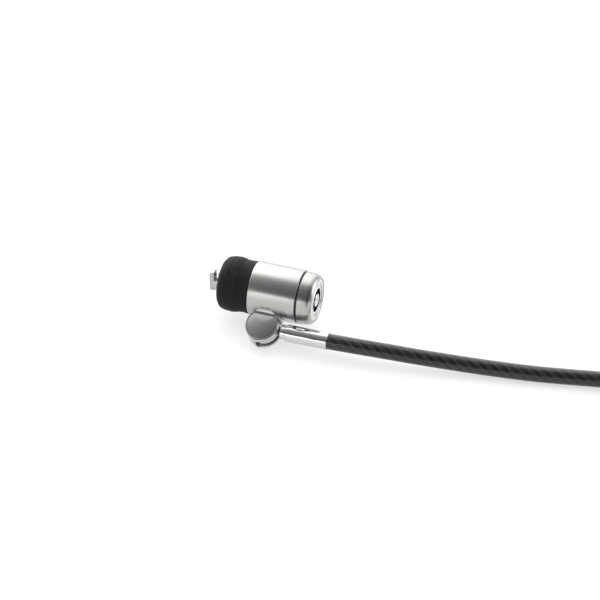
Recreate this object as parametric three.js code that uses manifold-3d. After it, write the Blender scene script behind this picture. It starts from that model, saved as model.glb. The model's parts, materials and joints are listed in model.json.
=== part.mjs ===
// Laptop cable lock: a tubular-key lock head that turns inside a swivel sleeve, a sideways pivot
// on the sleeve, and a coated steel cable that is crimped to the pivot's link.
// Millimetres, +Z up. The desk is z = 0 and the lock lies on it, its barrel along X.
// The nose that enters the laptop's slot points along -X, and the key enters from +X.
import * as THREE from 'three';
import { mergeVertices } from 'three/addons/utils/BufferGeometryUtils.js';
import Module from 'manifold-3d';

const wasm = await Module();
wasm.setup();

// ---- driving dimensions -------------------------------------------------------------------------

// Where the barrel's axis lies above the desk, and where x = 0, the rubber's front face, lies.
const AXIS_HEIGHT = 11.319;
const AXIS_Y = 3.962;
const FACE_X = -16.0;

// Stations along the barrel, counted from the rubber's front face.
const RUBBER_LENGTH = 9.8;
const SLEEVE_START = 9.95;
const SLEEVE_END = 24.45;
const RING_END = 25.0;
const CAP_START = 25.05;
const BARREL_END = 29.3;

// Radii of the barrel.
const CORE_R = 6.3;
const CORE_BORE_R = 5.3;
const SLEEVE_BORE_R = 6.42;
const SLEEVE_R_REAR = 8.15;
const SLEEVE_R_FRONT = 8.05;
const CAP_R = 7.9;

// Pivot knuckle: its axis lies beside the barrel, on a line tilted below the level.
const PIVOT_X = 15.9;
const PIVOT_OFFSET = 11.8;
const PIVOT_TILT = THREE.MathUtils.degToRad(31);
const CHEEK_R = 5.0;
const CHEEK_BOTTOM = -2.9;
const CHEEK_TOP = 2.9;
const SLOT_HALF = 1.7;
const EYE_HALF = 1.6;
const EYE_R = 4.65;
const EYE_BORE_R = 1.68;
const PIVOT_PIN_R = 1.6;
const INLAY_R = 4.4;
const INLAY_DEPTH = 0.6;
const BEAK = [-0.85, -5.35];
const FILLET_R = 2.2;

// Link neck and crimp ferrule, counted from the pivot along +X.
const NECK_START = 5.5;
const NECK_R = 2.2;
const FERRULE_START = 7.25;
const FERRULE_END = 19.9;
const FERRULE_R = 2.55;
const FERRULE_BORE_R = 1.65;

// Tubular lock: the keyway, the seven pin stacks and the shear plane between plug and carrier.
const KEYWAY_R = 3.5;
const POST_R = 1.95;
const PIN_COUNT = 7;
const PIN_CIRCLE_R = 2.75;
const PIN_R = 0.6;
const PIN_BORE_R = 0.7;
const SHEAR_X = 19.5;
const PLUG_R = 5.2;
const PLUG_END = 27.3;
const KEYWAY_FLOOR_X = 23.2;
const CARRIER_START = 12.4;
const SPRING_START = 13.9;
const SPINDLE_R = 1.3;
const KEY_PIN_LENGTHS = [5.4, 4.6, 5.0, 4.4, 5.6, 4.8, 5.2];
const DRIVER_LENGTH = 2.0;

// Nose for a standard 3 x 7 mm security slot.
const NOSE_HEAD = { x0: -3.8, x1: -2.4, across: 2.6, along: 6.6 };
const PRONG = { x0: -2.2, y: 2.45, width: 1.4, height: 2.6 };

// Cable.
const CABLE_D = 4.7;
const CABLE_SIDES = 10;
const END_GAP = 0.3;
const HANK = { x: 131, y: -12.95, run: 56, inner: 14.5, pitch: 4.75, layers: 4, bottom: 1.2 };
const HANK_SLACK = 0.15;
const TIE = { width: 12, thickness: 0.9, gap: 0.3, along: [8, 48] };
const LOOP_FERRULE = { length: 12, width: 11.6, height: 6.7 };

// Outside of the hank, which is two turns wide.
const HANK_OUTER = HANK.inner + HANK.pitch + CABLE_D / 2 + HANK_SLACK;
const HANK_TOP = HANK.bottom + (HANK.layers - 1) * HANK.pitch + CABLE_D + 2 * HANK_SLACK;

// Facets round a circle.
const FINE = 48;
const MEDIUM = 24;
const SMALL = 12;

// ---- materials ----------------------------------------------------------------------------------

function material(color, roughness, metalness) {
  return new THREE.MeshStandardMaterial({ color, roughness, metalness });
}

const SATIN_NICKEL = material(0xb9b8b4, 0.34, 1);
const POLISHED = material(0xd2d3d4, 0.14, 1);
const BRASS = material(0xc2a25a, 0.35, 1);
const STEEL = material(0x9a9b9c, 0.4, 1);
const SPRING_STEEL = material(0x8a8c90, 0.3, 1);
const RUBBER = material(0x1d1e1f, 0.8, 0);
const NYLON = material(0x121213, 0.5, 0);
const JACKET = material(0x35373a, 0.25, 0);
const STRAP = material(0x17181a, 0.95, 0);

// ---- geometry helpers ---------------------------------------------------------------------------

// One closed skin: shared vertices merged, empty triangles dropped, faces pointing out.
function closed(geometry) {
  const bare = geometry.index ? geometry : mergeVertices(geometry);
  for (const name of Object.keys(bare.attributes)) {
    if (name !== 'position') bare.deleteAttribute(name);
  }
  const merged = mergeVertices(bare, 1e-4);
  const at = merged.attributes.position;
  const index = [];
  let volume = 0;
  const corner = [new THREE.Vector3(), new THREE.Vector3(), new THREE.Vector3()];
  for (let i = 0; i < merged.index.count; i += 3) {
    const triangle = [0, 1, 2].map((k) => merged.index.getX(i + k));
    if (new Set(triangle).size < 3) continue;
    corner.forEach((point, k) => point.fromBufferAttribute(at, triangle[k]));
    volume += corner[0].dot(corner[1].clone().cross(corner[2]));
    index.push(triangle);
  }
  const facing = volume < 0 ? index.map(([a, b, c]) => [a, c, b]) : index;
  merged.setIndex(facing.flat());
  return merged;
}

function toSolid(geometry) {
  const skin = closed(geometry);
  const vertProperties = new Float32Array(skin.attributes.position.array);
  const triVerts = new Uint32Array(skin.index.array);
  return new wasm.Manifold(new wasm.Mesh({ numProp: 3, vertProperties, triVerts }));
}

function toGeometry(solid) {
  const mesh = solid.getMesh();
  const geometry = new THREE.BufferGeometry();
  geometry.setAttribute('position', new THREE.Float32BufferAttribute(mesh.vertProperties, 3));
  geometry.setIndex(Array.from(mesh.triVerts));
  return geometry;
}

function join(first, ...others) {
  return toGeometry(others.reduce((sum, next) => sum.add(toSolid(next)), toSolid(first)));
}

function cut(first, ...others) {
  return toGeometry(others.reduce((rest, next) => rest.subtract(toSolid(next)), toSolid(first)));
}

function common(first, second) {
  return toGeometry(toSolid(first).intersect(toSolid(second)));
}

// A body turned about the X axis; the profile lists [x, radius] and closes on itself or the axis.
function turned(profile, segments = FINE) {
  const points = profile.map(([x, r]) => new THREE.Vector2(r, x));
  return closed(new THREE.LatheGeometry(points, segments).rotateZ(-Math.PI / 2));
}

function rod(x0, x1, radius, segments = MEDIUM) {
  return turned([[x0, 0], [x0, radius], [x1, radius], [x1, 0]], segments);
}

function tube(x0, x1, outer, inner, segments = FINE) {
  return turned([[x0, inner], [x0, outer], [x1, outer], [x1, inner], [x0, inner]], segments);
}

// A round body about a line parallel to Z through (x, y).
function upright(x, y, z0, z1, radius, segments = FINE) {
  return rod(z0, z1, radius, segments).rotateY(-Math.PI / 2).translate(x, y, 0);
}

function block(x0, x1, y0, y1, z0, z1) {
  return new THREE.BoxGeometry(x1 - x0, y1 - y0, z1 - z0)
    .translate((x0 + x1) / 2, (y0 + y1) / 2, (z0 + z1) / 2);
}

// A flat plate of the outline given as [x, y] points, between two heights.
function plate(outline, z0, z1) {
  const shape = new THREE.Shape(outline.map(([x, y]) => new THREE.Vector2(x, y)));
  return new THREE.ExtrudeGeometry(shape, { depth: z1 - z0, bevelEnabled: false }).translate(0, 0, z0);
}

function part(parent, name, geometry, look) {
  const mesh = new THREE.Mesh(closed(geometry), look);
  mesh.name = name;
  parent.add(mesh);
  return mesh;
}

function pinAngle(index) {
  return (index / PIN_COUNT) * 2 * Math.PI + Math.PI / 2;
}

// Moves a body from the barrel's axis to its place on the circle of pins.
function toPinCircle(geometry, index) {
  const angle = pinAngle(index);
  return geometry.translate(0, PIN_CIRCLE_R * Math.cos(angle), PIN_CIRCLE_R * Math.sin(angle));
}

function pinHoles(x0, x1) {
  return Array.from({ length: PIN_COUNT }, (_, i) => toPinCircle(rod(x0, x1, PIN_BORE_R, SMALL), i));
}

// ---- lock core ----------------------------------------------------------------------------------

function rubberBumper() {
  const outside = [
    [0, 6.5], [0.25, 7.0], [0.8, 7.6], [2.5, 8.15], [4.0, 8.27], [5.5, 8.1],
    [7.4, 7.8], [9.0, 7.85], [RUBBER_LENGTH, 7.95],
  ];
  const inside = [[RUBBER_LENGTH, 6.4], [1.9, 6.4], [1.9, 4.1], [0, 4.1], [0, 6.5]];
  return turned([...outside, ...inside]);
}

// Disc behind the rubber's face, with the two prongs that stop the lock turning in its slot.
function nosePlate() {
  const disc = tube(2.0, 3.4, CORE_R, SPINDLE_R + 0.1);
  const prongs = [-1, 1].map((side) => {
    const middle = side * PRONG.y;
    const halfHeight = PRONG.height / 2;
    return block(PRONG.x0, 2.5, middle - PRONG.width / 2, middle + PRONG.width / 2, -halfHeight, halfHeight);
  });
  return join(disc, ...prongs);
}

function coreShell() {
  const wallX = PLUG_END + 0.1;
  return turned([
    [3.5, CORE_BORE_R], [3.5, CORE_R], [BARREL_END - 0.1, CORE_R], [BARREL_END - 0.1, 5.05],
    [BARREL_END - 0.3, 5.05], [BARREL_END - 0.3, KEYWAY_R + 0.05], [wallX, KEYWAY_R + 0.05],
    [wallX, CORE_BORE_R], [3.5, CORE_BORE_R],
  ]);
}

function frontCap() {
  const inner = CORE_R + 0.05;
  return turned([
    [CAP_START, inner], [CAP_START, CAP_R - 0.1], [CAP_START + 0.15, CAP_R], [27.8, 7.58],
    [28.4, 7.4], [28.9, 7.1], [29.18, 6.75], [BARREL_END, 6.5], [BARREL_END, inner],
    [CAP_START, inner],
  ]);
}

function grooveRing() {
  return tube(SLEEVE_END + 0.05, RING_END, 7.55, CORE_R + 0.05);
}

function backBush() {
  return tube(3.55, 5.0, CORE_BORE_R - 0.05, SPINDLE_R + 0.08, MEDIUM);
}

function spacerTube() {
  return tube(5.1, CARRIER_START - 0.1, CORE_BORE_R - 0.05, 4.3, MEDIUM);
}

function pinCarrier() {
  const body = tube(CARRIER_START, SHEAR_X - 0.03, PLUG_R, SPINDLE_R + 0.08, FINE);
  const crossHole = rod(-CORE_BORE_R, -4.3, 0.6, SMALL).rotateY(-Math.PI / 2).translate(13.1, 0, 0);
  return cut(body, ...pinHoles(SPRING_START - 0.05, SHEAR_X + 1), crossHole);
}

// Short pin pressed through the shell's wall that keeps the carrier from turning.
function carrierPin() {
  return upright(13.1, 0, -CORE_BORE_R + 0.05, -4.35, 0.55, SMALL);
}

function driverPin(index) {
  return toPinCircle(rod(SHEAR_X - 0.04 - DRIVER_LENGTH, SHEAR_X - 0.04, PIN_R, SMALL), index);
}

// Coil spring behind a driver pin.
function pinSpring(index) {
  const x1 = SHEAR_X - 0.14 - DRIVER_LENGTH;
  const turns = 4;
  const wire = 0.09;
  const radius = 0.46;
  const x0 = SPRING_START + wire + 0.02;
  const points = Array.from({ length: turns * 8 + 1 }, (_, i) => {
    const angle = (i / 8) * 2 * Math.PI;
    const x = x0 + ((x1 - wire - x0) * i) / (turns * 8);
    return new THREE.Vector3(x, radius * Math.cos(angle), radius * Math.sin(angle));
  });
  return toPinCircle(swept(points, wire, 4, turns * 8), index);
}

// ---- key plug -----------------------------------------------------------------------------------

function keyPlug() {
  const body = turned([
    [SHEAR_X + 0.03, 0], [SHEAR_X + 0.03, PLUG_R], [PLUG_END, PLUG_R], [PLUG_END, KEYWAY_R],
    [KEYWAY_FLOOR_X, KEYWAY_R], [KEYWAY_FLOOR_X, POST_R], [BARREL_END - 0.35, POST_R],
    [BARREL_END - 0.15, POST_R - 0.2], [BARREL_END - 0.15, 0],
  ]);
  const socket = block(SHEAR_X - 1, 22.6, -1.0, 1.0, -1.0, 1.0);
  const lugSlot = block(KEYWAY_FLOOR_X, PLUG_END + 1, -0.55, 0.55, KEYWAY_R - 0.4, KEYWAY_R + 0.7);
  return cut(body, socket, lugSlot, ...pinHoles(SHEAR_X - 1, KEYWAY_FLOOR_X + 1));
}

function keyPin(index) {
  const x0 = SHEAR_X + 0.04;
  const x1 = x0 + KEY_PIN_LENGTHS[index];
  const profile = [[x0, 0], [x0, PIN_R], [x1 - 0.3, PIN_R], [x1, PIN_R - 0.3], [x1, 0]];
  return toPinCircle(turned(profile, SMALL), index);
}

// Spindle through the carrier to the crosswise head that locks behind the slot.
function tBar() {
  const shaft = rod(NOSE_HEAD.x1 - 0.5, SHEAR_X, SPINDLE_R);
  const tang = block(SHEAR_X - 0.5, 22.5, -0.9, 0.9, -0.9, 0.9);
  const half = NOSE_HEAD.across / 2;
  const reach = NOSE_HEAD.along / 2;
  const head = common(
    block(NOSE_HEAD.x0, NOSE_HEAD.x1, -half, half, -reach, reach),
    rod(NOSE_HEAD.x0, NOSE_HEAD.x1, reach, FINE),
  );
  return join(shaft, tang, head);
}

function spindleClip() {
  return tube(10.6, 11.2, 2.3, SPINDLE_R + 0.03, MEDIUM);
}

// ---- swivel sleeve and its pivot knuckle, with the barrel's axis as X and the pivot at -Y --------

function knuckleOutline() {
  const points = [];
  const beakAngle = Math.atan2(BEAK[1], BEAK[0]);
  const beakSpan = Math.acos(CHEEK_R / Math.hypot(BEAK[0], BEAK[1]));
  for (let i = 0; i < FINE; i += 1) {
    const angle = -Math.PI + ((i + 0.5) / FINE) * 2 * Math.PI;
    if (Math.abs(angle - beakAngle) < beakSpan) continue;
    points.push([angle, CHEEK_R * Math.cos(angle), CHEEK_R * Math.sin(angle)]);
  }
  points.push([beakAngle, ...BEAK]);
  points.sort((a, b) => a[0] - b[0]);
  return points.map(([, x, y]) => [PIVOT_X + x, y - PIVOT_OFFSET]);
}

// Wall beside the cable that stops it at the barrel, tangent to the round of the knuckle.
function stopWall() {
  const tangent = THREE.MathUtils.degToRad(62.5);
  const out = [Math.cos(tangent), Math.sin(tangent)];
  const along = [out[1], -out[0]];
  const corner = (s, d) => [
    PIVOT_X + d * out[0] + s * along[0],
    -PIVOT_OFFSET + d * out[1] + s * along[1],
  ];
  return plate([corner(-0.5, 4.3), corner(-0.5, 5.05), corner(3.45, 5.05), corner(3.45, 4.4)],
    CHEEK_BOTTOM + 0.2, CHEEK_TOP - 0.15);
}

// Concave blend from the knuckle's flat top up to the barrel.
function knuckleFillet() {
  const flatStart = 3.3;
  const top = CHEEK_TOP;
  const points = [new THREE.Vector2(flatStart, top - 1.2)];
  for (let i = 0; i <= 6; i += 1) {
    const angle = THREE.MathUtils.degToRad((i / 6) * 62);
    points.push(new THREE.Vector2(
      flatStart + FILLET_R * Math.sin(angle),
      top + FILLET_R * (1 - Math.cos(angle)),
    ));
  }
  points.push(new THREE.Vector2(flatStart + 3.5, top - 1.2));
  const shape = new THREE.Shape(points);
  const bar = new THREE.ExtrudeGeometry(shape, { depth: 12, bevelEnabled: false });
  bar.rotateX(Math.PI / 2).rotateZ(Math.PI / 2).translate(PIVOT_X - 6, -PIVOT_OFFSET, 0);
  return common(bar, upright(PIVOT_X, -PIVOT_OFFSET, 0, 8, CHEEK_R));
}

function swivelSleeve() {
  const barrel = turned([
    [SLEEVE_START, SLEEVE_BORE_R], [SLEEVE_START, SLEEVE_R_REAR - 0.15],
    [SLEEVE_START + 0.15, SLEEVE_R_REAR], [SLEEVE_END - 0.15, SLEEVE_R_FRONT],
    [SLEEVE_END, SLEEVE_R_FRONT - 0.15], [SLEEVE_END, SLEEVE_BORE_R], [SLEEVE_START, SLEEVE_BORE_R],
  ]);
  const knuckle = plate(knuckleOutline(), CHEEK_BOTTOM, CHEEK_TOP);
  const whole = join(barrel, knuckle, stopWall(), knuckleFillet());
  const bore = rod(SLEEVE_START - 1, SLEEVE_END + 1, SLEEVE_BORE_R, FINE);
  const slot = upright(PIVOT_X, -PIVOT_OFFSET, -SLOT_HALF, SLOT_HALF, EYE_R + 0.12);
  const mouth = plate(windowOutline(), -SLOT_HALF, SLOT_HALF);
  const pinHole = upright(PIVOT_X, -PIVOT_OFFSET, CHEEK_BOTTOM - 1, 4, PIVOT_PIN_R + 0.03, MEDIUM);
  const recess = plate(inlayOutline(0.04), CHEEK_TOP - INLAY_DEPTH, CHEEK_TOP + 0.5);
  return cut(whole, bore, slot, mouth, pinHole, recess);
}

// The open quarter of the knuckle that the cable's neck swings through.
function windowOutline() {
  const reach = CHEEK_R + 1.5;
  const from = THREE.MathUtils.degToRad(-99);
  const to = THREE.MathUtils.degToRad(17);
  const points = [[PIVOT_X, -PIVOT_OFFSET]];
  for (let i = 0; i <= 8; i += 1) {
    const angle = from + ((to - from) * i) / 8;
    points.push([PIVOT_X + reach * Math.cos(angle), -PIVOT_OFFSET + reach * Math.sin(angle)]);
  }
  return points;
}

// Round inlay with a flat on the barrel's side.
function inlayOutline(grow) {
  const flat = 3.15 + grow;
  const points = [];
  const start = Math.asin(flat / (INLAY_R + grow));
  const sweep = -(Math.PI + 2 * start);
  for (let i = 0; i <= 36; i += 1) {
    const angle = start + (sweep * i) / 36;
    points.push([
      PIVOT_X + (INLAY_R + grow) * Math.cos(angle),
      -PIVOT_OFFSET + (INLAY_R + grow) * Math.sin(angle),
    ]);
  }
  return points;
}

function pivotInlay() {
  return plate(inlayOutline(0), CHEEK_TOP - INLAY_DEPTH + 0.03, CHEEK_TOP);
}

function pivotPin() {
  const top = CHEEK_TOP - INLAY_DEPTH - 0.02;
  return upright(PIVOT_X, -PIVOT_OFFSET, CHEEK_BOTTOM, top, PIVOT_PIN_R, MEDIUM);
}

// ---- link, ferrule and rope end, in the same tilted frame -----------------------------------------

function fromPivot(geometry) {
  return geometry.translate(PIVOT_X, -PIVOT_OFFSET, 0);
}

function cableLink() {
  const eye = upright(0, 0, -EYE_HALF, EYE_HALF, EYE_R);
  const web = block(3.5, NECK_START + 0.3, -1.05, 1.05, -EYE_HALF + 0.1, EYE_HALF - 0.1);
  const neck = rod(NECK_START, FERRULE_START - 0.05, NECK_R, FINE);
  const shank = rod(FERRULE_START - 0.5, FERRULE_START + 4.5, FERRULE_BORE_R - 0.05);
  const bore = upright(0, 0, -3, 3, EYE_BORE_R, MEDIUM);
  return fromPivot(cut(join(eye, web, neck, shank), bore));
}

function crimpFerrule() {
  return fromPivot(turned([
    [FERRULE_START, FERRULE_BORE_R], [FERRULE_START, FERRULE_R - 0.1],
    [FERRULE_START + 0.1, FERRULE_R], [FERRULE_END - 0.15, FERRULE_R],
    [FERRULE_END, FERRULE_R - 0.15], [FERRULE_END, FERRULE_BORE_R],
    [FERRULE_START, FERRULE_BORE_R],
  ]));
}

function ropeEnd() {
  return fromPivot(rod(FERRULE_START + 4.8, FERRULE_END - 0.05, FERRULE_BORE_R - 0.08));
}

// ---- cable --------------------------------------------------------------------------------------

// A round bar swept along a list of points.
function swept(points, radius, sides, steps) {
  const circle = Array.from({ length: sides }, (_, i) => {
    const angle = (i / sides) * 2 * Math.PI;
    return new THREE.Vector2(radius * Math.cos(angle), radius * Math.sin(angle));
  });
  const extrudePath = new THREE.CatmullRomCurve3(points, false, 'centripetal');
  return new THREE.ExtrudeGeometry(new THREE.Shape(circle), { steps, extrudePath, bevelEnabled: false });
}

// Points of the cable's centre from the crimp ferrule's mouth to the hank, laid by hand.
const LEAD = [
  [19.8, -6.15, 5.24], [25.0, -5.98, 5.26], [31.0, -5.52, 5.1], [38.0, -4.72, 4.72],
  [46.0, -3.66, 4.12], [54.0, -2.4, 3.5], [62.0, -1.2, 2.98], [70.0, 0.0, 2.6],
  [79.0, 1.3, 2.4], [88.0, 2.85, 2.36], [96.0, 4.3, 2.42], [103.0, 5.35, 2.65],
  [109.5, 5.98, 3.1], [115.8, 6.25, 3.5],
];

// Points over the top of the hank to the rear of the loop's ferrule, laid by hand.
const TAIL = [
  [135.0, -32.2, 24.3], [131.0, -32.2, 24.3], [126.0, -31.3, 24.3], [121.6, -28.8, 24.3],
  [118.3, -24.9, 24.3], [116.7, -20.2, 24.3], [116.7, -15.2, 24.3], [118.5, -10.4, 24.3],
  [121.7, -6.6, 24.3], [126.0, -4.1, 24.3], [131.0, -3.2, 24.3], [135.9, -4.1, 24.3],
  [140.0, -6.5, 24.3], [143.6, -8.8, 24.3], [147.4, -10.2, 24.3], [151.2, -10.5, 24.3],
];

// The loop leaves its ferrule on the left strand and comes back on the right one.
const LOOP = { bend: 19, strandHalf: 2.42, z: 24.3 };

function pathPoints(list) {
  return list.map(([x, y, z]) => new THREE.Vector3(x, y, z));
}

// Shortens a route by the gap at either end, so that it meets its neighbours face to face.
function trimmed(points, startGap, endGap) {
  const list = points.map((point) => point.clone());
  const last = list.length - 1;
  list[0].add(list[1].clone().sub(list[0]).setLength(startGap));
  list[last].add(list[last - 1].clone().sub(list[last]).setLength(endGap));
  return list;
}

function cableRun(list, steps) {
  const points = trimmed(pathPoints(list), END_GAP, END_GAP);
  return swept(points, CABLE_D / 2, CABLE_SIDES, steps);
}

// Outline with round ends round the hank's two end centres, counted from the left one.
function capsule(radius) {
  const shape = new THREE.Shape();
  shape.absarc(HANK.run, 0, radius, -Math.PI / 2, Math.PI / 2);
  shape.absarc(0, 0, radius, Math.PI / 2, (3 * Math.PI) / 2);
  return shape;
}

// The hank's outer shape, standing on its ties.
function hankRing() {
  const shape = capsule(HANK_OUTER);
  shape.holes.push(capsule(HANK.inner - CABLE_D / 2 - HANK_SLACK));
  const depth = HANK_TOP - HANK.bottom;
  return new THREE.ExtrudeGeometry(shape, { depth, bevelEnabled: false, curveSegments: 16 })
    .translate(HANK.x, HANK.y, HANK.bottom);
}

// Flat strap round the whole hank, at one place of its length.
function hankTie(along) {
  const reach = HANK_OUTER + TIE.gap;
  const t = TIE.thickness;
  const half = TIE.width / 2;
  const outside = block(-half, half, -reach - t, reach + t, 0, HANK_TOP + TIE.gap + t);
  const inside = block(-half - 1, half + 1, -reach, reach, t, HANK_TOP + TIE.gap);
  return cut(outside, inside).translate(HANK.x + along, HANK.y, 0);
}

// The loop's own frame: x from its ferrule's rear along the ferrule, y to the left.
function inLoopFrame(geometry) {
  const [x, y] = TAIL[TAIL.length - 1];
  return geometry.translate(x, y - LOOP.strandHalf, LOOP.z);
}

function loopFerrule() {
  const { length, width, height } = LOOP_FERRULE;
  const radius = height / 2;
  const side = width / 2 - radius;
  const shape = new THREE.Shape();
  shape.absarc(side, 0, radius, -Math.PI / 2, Math.PI / 2);
  shape.absarc(-side, 0, radius, Math.PI / 2, (3 * Math.PI) / 2);
  const bar = new THREE.ExtrudeGeometry(shape, { depth: length, bevelEnabled: false, curveSegments: 10 });
  return inLoopFrame(bar.rotateX(Math.PI / 2).rotateZ(Math.PI / 2));
}

// A bend away from the ferrule, one round bend, and the same first bend back, all of one radius.
function loopRun() {
  const { bend, strandHalf } = LOOP;
  const spread = Math.acos((bend + strandHalf) / (2 * bend));
  const centreX = LOOP_FERRULE.length + 2 * bend * Math.sin(spread);
  const points = [];
  for (let i = 0; i < 4; i += 1) {
    const angle = (i / 4) * spread;
    const x = LOOP_FERRULE.length + bend * Math.sin(angle);
    points.push([x, strandHalf + bend * (1 - Math.cos(angle)), 0]);
  }
  const sweep = Math.PI + 2 * spread;
  const count = 14;
  for (let i = 0; i <= count; i += 1) {
    const angle = sweep / 2 - (i / count) * sweep;
    points.push([centreX + bend * Math.cos(angle), bend * Math.sin(angle), 0]);
  }
  const back = points.slice(0, 4).reverse().map(([x, y]) => [x, -y, 0]);
  return inLoopFrame(cableRun([...points, ...back], 22));
}

// ---- assembly -----------------------------------------------------------------------------------

function lockHead() {
  const head = new THREE.Group();
  part(head, 'rubber_bumper', rubberBumper(), RUBBER);
  part(head, 'nose_plate', nosePlate(), STEEL);
  part(head, 'core_shell', coreShell(), POLISHED);
  part(head, 'front_cap', frontCap(), SATIN_NICKEL);
  part(head, 'groove_ring', grooveRing(), NYLON);
  part(head, 'spindle_bush', backBush(), BRASS);
  part(head, 'spacer_tube', spacerTube(), STEEL);
  part(head, 'pin_carrier', pinCarrier(), BRASS);
  part(head, 'carrier_pin', carrierPin(), STEEL);
  part(head, 'key_plug', keyPlug(), BRASS);
  part(head, 't_bar', tBar(), STEEL);
  part(head, 'spindle_clip', spindleClip(), SPRING_STEEL);
  for (let i = 0; i < PIN_COUNT; i += 1) {
    part(head, `key_pin_${i + 1}`, keyPin(i), BRASS);
    part(head, `driver_pin_${i + 1}`, driverPin(i), STEEL);
    part(head, `pin_spring_${i + 1}`, pinSpring(i), SPRING_STEEL);
  }
  return head;
}

// Everything that keeps the knuckle's tilt: the sleeve with its pivot, and the cable's fitting.
function swivelAndFitting() {
  const swivel = new THREE.Group();
  swivel.rotation.x = PIVOT_TILT;
  part(swivel, 'swivel_sleeve', swivelSleeve(), SATIN_NICKEL);
  part(swivel, 'pivot_pin', pivotPin(), STEEL);
  part(swivel, 'pivot_inlay', pivotInlay(), SATIN_NICKEL);
  part(swivel, 'cable_link', cableLink(), POLISHED);
  part(swivel, 'crimp_ferrule', crimpFerrule(), POLISHED);
  part(swivel, 'rope_end', ropeEnd(), STEEL);
  return swivel;
}

function cable() {
  const cord = new THREE.Group();
  part(cord, 'cable_lead', cableRun(LEAD, 12), JACKET);
  part(cord, 'cable_hank', hankRing(), JACKET);
  TIE.along.forEach((along, i) => part(cord, `hank_tie_${i + 1}`, hankTie(along), STRAP));
  part(cord, 'cable_tail', cableRun(TAIL, 20), JACKET);
  part(cord, 'loop_ferrule', loopFerrule(), POLISHED);
  part(cord, 'cable_loop', loopRun(), JACKET);
  return cord;
}

const lock = new THREE.Group();
lock.position.set(FACE_X, AXIS_Y, AXIS_HEIGHT);
lock.add(lockHead(), swivelAndFitting());

const group = new THREE.Group();
group.add(lock, cable());

export default group;
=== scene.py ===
"""Looks of the laptop cable lock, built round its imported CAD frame. Shapes are made in millimetres."""
import json
import math

import bmesh
import bpy
from mathutils import Matrix, Vector, noise


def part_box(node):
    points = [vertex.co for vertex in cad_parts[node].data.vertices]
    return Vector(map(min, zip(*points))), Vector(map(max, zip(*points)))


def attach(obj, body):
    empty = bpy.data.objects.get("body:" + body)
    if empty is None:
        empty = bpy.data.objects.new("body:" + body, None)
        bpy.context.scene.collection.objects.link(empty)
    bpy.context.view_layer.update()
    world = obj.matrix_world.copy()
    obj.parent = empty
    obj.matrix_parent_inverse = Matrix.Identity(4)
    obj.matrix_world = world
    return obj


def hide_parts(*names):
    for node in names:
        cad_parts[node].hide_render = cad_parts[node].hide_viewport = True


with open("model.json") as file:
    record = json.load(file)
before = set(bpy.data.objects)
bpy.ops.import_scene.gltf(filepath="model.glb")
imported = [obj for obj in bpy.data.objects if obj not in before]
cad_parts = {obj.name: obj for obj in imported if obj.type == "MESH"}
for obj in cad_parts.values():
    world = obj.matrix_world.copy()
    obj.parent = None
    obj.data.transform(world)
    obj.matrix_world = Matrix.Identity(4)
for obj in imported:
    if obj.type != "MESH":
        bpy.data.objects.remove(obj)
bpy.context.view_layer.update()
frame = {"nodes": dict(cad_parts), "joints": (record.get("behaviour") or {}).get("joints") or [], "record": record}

# ---- the frame's own places ------------------------------------------------------------------------

MM = 0.001
JOINTS = {joint["name"]: joint for joint in frame["joints"]}
AXIS = Vector(JOINTS["head_swivel"]["pos_m"])
PIVOT = Vector(JOINTS["cable_pivot"]["pos_m"])
PIVOT_AXIS = Vector(JOINTS["cable_pivot"]["axis"])
TILT = math.atan2(-PIVOT_AXIS.y, PIVOT_AXIS.z)
FACE_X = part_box("rubber_bumper")[0].x

# From millimetres to the row's metres: HEAD counts along the barrel from the rubber's face, KNUCKLE
# round the pivot, and ROW from the row's own origin.
HEAD = Matrix.Translation((FACE_X, AXIS.y, AXIS.z)) @ Matrix.Scale(MM, 4)
KNUCKLE = Matrix.Translation(PIVOT) @ Matrix.Rotation(TILT, 4, "X") @ Matrix.Scale(MM, 4)
ROW = Matrix.Scale(MM, 4)
PIVOT_OUT = (Vector((0, AXIS.y, AXIS.z)) - Vector((0, PIVOT.y, PIVOT.z))).length / MM
PIVOT_X = (PIVOT.x - FACE_X) / MM


def stations(node):
    """First and last station of a node along the barrel, in millimetres from the rubber's face."""
    low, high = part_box(node)
    return (low.x - FACE_X) / MM, (high.x - FACE_X) / MM


# ---- camera ----------------------------------------------------------------------------------------

AZIMUTH = math.radians(18)
ELEVATION = math.radians(38.3)
DISTANCE = 0.93
LENS = 189.7
AIM_ALONG, AIM_RIGHT, AIM_DOWN = 0.001, 0.00653, 0.002265
BACK = Vector((math.sin(AZIMUTH) * math.cos(ELEVATION),
               -math.cos(AZIMUTH) * math.cos(ELEVATION),
               math.sin(ELEVATION)))
RIGHT = Vector((math.cos(AZIMUTH), math.sin(AZIMUTH), 0))
UP = BACK.cross(RIGHT)


def make_camera():
    data = bpy.data.cameras.new("camera")
    data.lens = LENS
    data.sensor_width = 36
    data.clip_start = 0.05
    data.clip_end = 50
    camera = bpy.data.objects.new("camera", data)
    bpy.context.scene.collection.objects.link(camera)
    aim = AXIS + Vector((AIM_ALONG, 0, 0)) + RIGHT * AIM_RIGHT - UP * AIM_DOWN
    turn = Matrix((RIGHT, UP, BACK)).transposed().to_4x4()
    camera.matrix_world = Matrix.Translation(aim + BACK * DISTANCE) @ turn
    bpy.context.scene.camera = camera


make_camera()


# ---- lines -----------------------------------------------------------------------------------------

def smooth_step(u):
    u = min(1.0, max(0.0, u))
    return u * u * (3 - 2 * u)


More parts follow.
